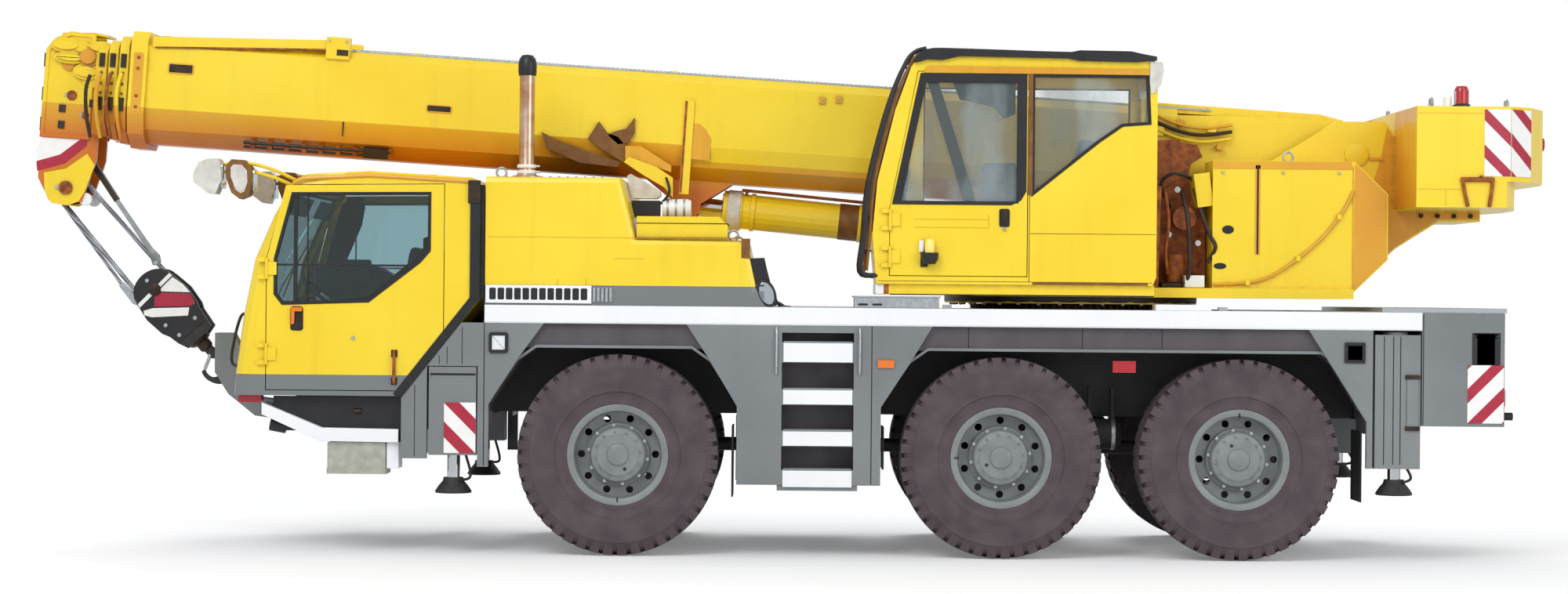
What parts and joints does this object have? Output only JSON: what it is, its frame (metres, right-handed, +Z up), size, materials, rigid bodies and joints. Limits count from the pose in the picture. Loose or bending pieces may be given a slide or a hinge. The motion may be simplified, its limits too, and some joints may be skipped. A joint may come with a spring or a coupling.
{
  "type": "mobile crane",
  "caption": "All-terrain telescopic crane on wheels, parked for the road: boom stowed over the driver's cab, hook block tied at the bumper, outriggers drawn in.",
  "frame": {"origin": "on the ground under the middle of the crane's length and width", "axes": "+X to the crane's rear, +Y to its right side, +Z up"},
  "size_m": [10.997, 2.548, 3.7336],
  "materials": {
    "paint_yellow": "gloss",
    "paint_grey": "satin",
    "frame_grey": "satin",
    "paint_white": "satin",
    "cast_iron": "matte",
    "black_paint": "satin",
    "black_plastic": "matte",
    "bright_steel": "brushed",
    "seat_cloth": "matte",
    "tyre_rubber": "matte",
    "rim_paint": "satin"
  },
  "bodies": {
    "carrier": {"chassis_frame": "frame_grey", "deck": "paint_white", "side_panel_left": "paint_grey", "side_panel_right": "paint_grey", "axle_1": "cast_iron", "axle_2": "cast_iron", "axle_3": "cast_iron", "tail_box": "paint_grey", "front_bumper": "paint_grey", "cab_shell": "paint_yellow", "cab_seats": "seat_cloth", "cab_dashboard": "black_plastic", "engine_hood": "paint_yellow", "engine_block": "cast_iron", "exhaust_stack": "bright_steel"},
    "superstructure": {"turntable": "paint_yellow", "counterweight": "paint_yellow", "winch": "cast_iron", "operator_cab": "paint_yellow", "operator_seat": "seat_cloth"},
    "operator_door": {"operator_door": "paint_yellow"},
    "boom_base": {"boom_base": "paint_yellow"},
    "tele_1": {"tele_1": "paint_yellow"},
    "tele_2": {"tele_2": "paint_yellow"},
    "tele_3": {"tele_3": "paint_yellow"},
    "luff_cylinder": {"luff_cylinder": "paint_yellow"},
    "luff_rod": {"luff_rod": "bright_steel"},
    "hook": {"hook_block": "black_paint", "hoist_rope": "bright_steel"},
    "cab_door_left": {"cab_door_left": "paint_yellow"},
    "cab_door_right": {"cab_door_right": "paint_yellow"},
    "wheel_1_left": {"tyre_1_left": "tyre_rubber", "rim_1_left": "rim_paint"},
    "knuckle_1_left": {"knuckle_1_left": "cast_iron"},
    "wheel_1_right": {"tyre_1_right": "tyre_rubber", "rim_1_right": "rim_paint"},
    "knuckle_1_right": {"knuckle_1_right": "cast_iron"},
    "wheel_2_left": {"tyre_2_left": "tyre_rubber", "rim_2_left": "rim_paint"},
    "wheel_2_right": {"tyre_2_right": "tyre_rubber", "rim_2_right": "rim_paint"},
    "wheel_3_left": {"tyre_3_left": "tyre_rubber", "rim_3_left": "rim_paint"},
    "knuckle_3_left": {"knuckle_3_left": "cast_iron"},
    "wheel_3_right": {"tyre_3_right": "tyre_rubber", "rim_3_right": "rim_paint"},
    "knuckle_3_right": {"knuckle_3_right": "cast_iron"},
    "outrigger_front_left": {"outrigger_front_left": "paint_grey"},
    "jack_front_left": {"jack_front_left": "black_paint"},
    "outrigger_front_right": {"outrigger_front_right": "paint_grey"},
    "jack_front_right": {"jack_front_right": "black_paint"},
    "outrigger_rear_left": {"outrigger_rear_left": "paint_grey"},
    "jack_rear_left": {"jack_rear_left": "black_paint"},
    "outrigger_rear_right": {"outrigger_rear_right": "paint_grey"},
    "jack_rear_right": {"jack_rear_right": "black_paint"}
  },
  "joints": [
    {"name": "cab_door_left_hinge", "type": "hinge", "parent": "carrier", "child": "cab_door_left", "pos_m": [-3.63, -1.262, 1.7], "axis": [0, 0, -1], "range_deg": [0, 75]},
    {"name": "cab_door_right_hinge", "type": "hinge", "parent": "carrier", "child": "cab_door_right", "pos_m": [-3.63, 1.262, 1.7], "axis": [0, 0, 1], "range_deg": [0, 75]},
    {"name": "steer_1_left", "type": "hinge", "parent": "carrier", "child": "knuckle_1_left", "pos_m": [-1.16, -0.95, 0.71], "axis": [0, 0, 1], "range_deg": [-35, 35]},
    {"name": "wheel_1_left_spin", "type": "hinge", "parent": "knuckle_1_left", "child": "wheel_1_left", "pos_m": [-1.16, -1.04, 0.71], "axis": [0, 1, 0], "continuous": true},
    {"name": "steer_1_right", "type": "hinge", "parent": "carrier", "child": "knuckle_1_right", "pos_m": [-1.16, 0.95, 0.71], "axis": [0, 0, 1], "range_deg": [-35, 35]},
    {"name": "wheel_1_right_spin", "type": "hinge", "parent": "knuckle_1_right", "child": "wheel_1_right", "pos_m": [-1.16, 1.04, 0.71], "axis": [0, 1, 0], "continuous": true},
    {"name": "wheel_2_left_spin", "type": "hinge", "parent": "carrier", "child": "wheel_2_left", "pos_m": [1.535, -1.04, 0.71], "axis": [0, 1, 0], "continuous": true},
    {"name": "wheel_2_right_spin", "type": "hinge", "parent": "carrier", "child": "wheel_2_right", "pos_m": [1.535, 1.04, 0.71], "axis": [0, 1, 0], "continuous": true},
    {"name": "steer_3_left", "type": "hinge", "parent": "carrier", "child": "knuckle_3_left", "pos_m": [3.207, -0.95, 0.71], "axis": [0, 0, 1], "range_deg": [-21, 21]},
    {"name": "wheel_3_left_spin", "type": "hinge", "parent": "knuckle_3_left", "child": "wheel_3_left", "pos_m": [3.207, -1.04, 0.71], "axis": [0, 1, 0], "continuous": true},
    {"name": "steer_3_right", "type": "hinge", "parent": "carrier", "child": "knuckle_3_right", "pos_m": [3.207, 0.95, 0.71], "axis": [0, 0, 1], "range_deg": [-21, 21]},
    {"name": "wheel_3_right_spin", "type": "hinge", "parent": "knuckle_3_right", "child": "wheel_3_right", "pos_m": [3.207, 1.04, 0.71], "axis": [0, 1, 0], "continuous": true},
    {"name": "outrigger_front_left_slide", "type": "slide", "parent": "carrier", "child": "outrigger_front_left", "axis": [0, -1, 0], "range_m": [0, 1.75]},
    {"name": "jack_front_left_slide", "type": "slide", "parent": "outrigger_front_left", "child": "jack_front_left", "axis": [0, 0, -1], "range_m": [0, 0.55]},
    {"name": "outrigger_front_right_slide", "type": "slide", "parent": "carrier", "child": "outrigger_front_right", "axis": [0, 1, 0], "range_m": [0, 1.75]},
    {"name": "jack_front_right_slide", "type": "slide", "parent": "outrigger_front_right", "child": "jack_front_right", "axis": [0, 0, -1], "range_m": [0, 0.55]},
    {"name": "outrigger_rear_left_slide", "type": "slide", "parent": "carrier", "child": "outrigger_rear_left", "axis": [0, -1, 0], "range_m": [0, 1.75]},
    {"name": "jack_rear_left_slide", "type": "slide", "parent": "outrigger_rear_left", "child": "jack_rear_left", "axis": [0, 0, -1], "range_m": [0, 0.55]},
    {"name": "outrigger_rear_right_slide", "type": "slide", "parent": "carrier", "child": "outrigger_rear_right", "axis": [0, 1, 0], "range_m": [0, 1.75]},
    {"name": "jack_rear_right_slide", "type": "slide", "parent": "outrigger_rear_right", "child": "jack_rear_right", "axis": [0, 0, -1], "range_m": [0, 0.55]},
    {"name": "slew", "type": "hinge", "parent": "carrier", "child": "superstructure", "pos_m": [2.12, 0, 1.735], "axis": [0, 0, 1], "continuous": true},
    {"name": "operator_door_hinge", "type": "hinge", "parent": "superstructure", "child": "operator_door", "pos_m": [0.74, -1.262, 2.25], "axis": [0, 0, -1], "range_deg": [0, 80]},
    {"name": "luff", "type": "hinge", "parent": "superstructure", "child": "boom_base", "pos_m": [4.15, 0, 2.9], "axis": [0, 1, 0], "range_deg": [0, 78.5]},
    {"name": "luff_cylinder_pivot", "type": "hinge", "parent": "superstructure", "child": "luff_cylinder", "pos_m": [2.45, 0, 2.2], "axis": [0, 1, 0], "range_deg": [0, 88.2]},
    {"name": "luff_rod_slide", "type": "slide", "parent": "luff_cylinder", "child": "luff_rod", "axis": [-0.9956, 0, 0.0942], "range_m": [0, 2.221]},
    {"name": "tele_1_slide", "type": "slide", "parent": "boom_base", "child": "tele_1", "axis": [-0.9982, 0, 0.0604], "range_m": [0, 6.3]},
    {"name": "tele_2_slide", "type": "slide", "parent": "tele_1", "child": "tele_2", "axis": [-0.9982, 0, 0.0604], "range_m": [0, 6.3]},
    {"name": "tele_3_slide", "type": "slide", "parent": "tele_2", "child": "tele_3", "axis": [-0.9982, 0, 0.0604], "range_m": [0, 6.3]},
    {"name": "hook_swing", "type": "hinge", "parent": "tele_3", "child": "hook", "pos_m": [-5.29097, 0, 2.58921], "axis": [0, 1, 0], "range_deg": [-37.5, 0]}
  ],
  "couplings": [
    {"joint": "steer_1_right", "follows": "steer_1_left", "ratio": 1},
    {"joint": "steer_3_left", "follows": "steer_1_left", "ratio": -0.6},
    {"joint": "steer_3_right", "follows": "steer_1_left", "ratio": -0.6},
    {"joint": "luff_cylinder_pivot", "follows": "luff", "ratio": 1.1232},
    {"joint": "luff_rod_slide", "follows": "luff", "m_per_rad": 1.6195},
    {"joint": "tele_2_slide", "follows": "tele_1_slide", "ratio": 1},
    {"joint": "tele_3_slide", "follows": "tele_1_slide", "ratio": 1},
    {"joint": "hook_swing", "follows": "luff", "ratio": -0.47771}
  ]
}
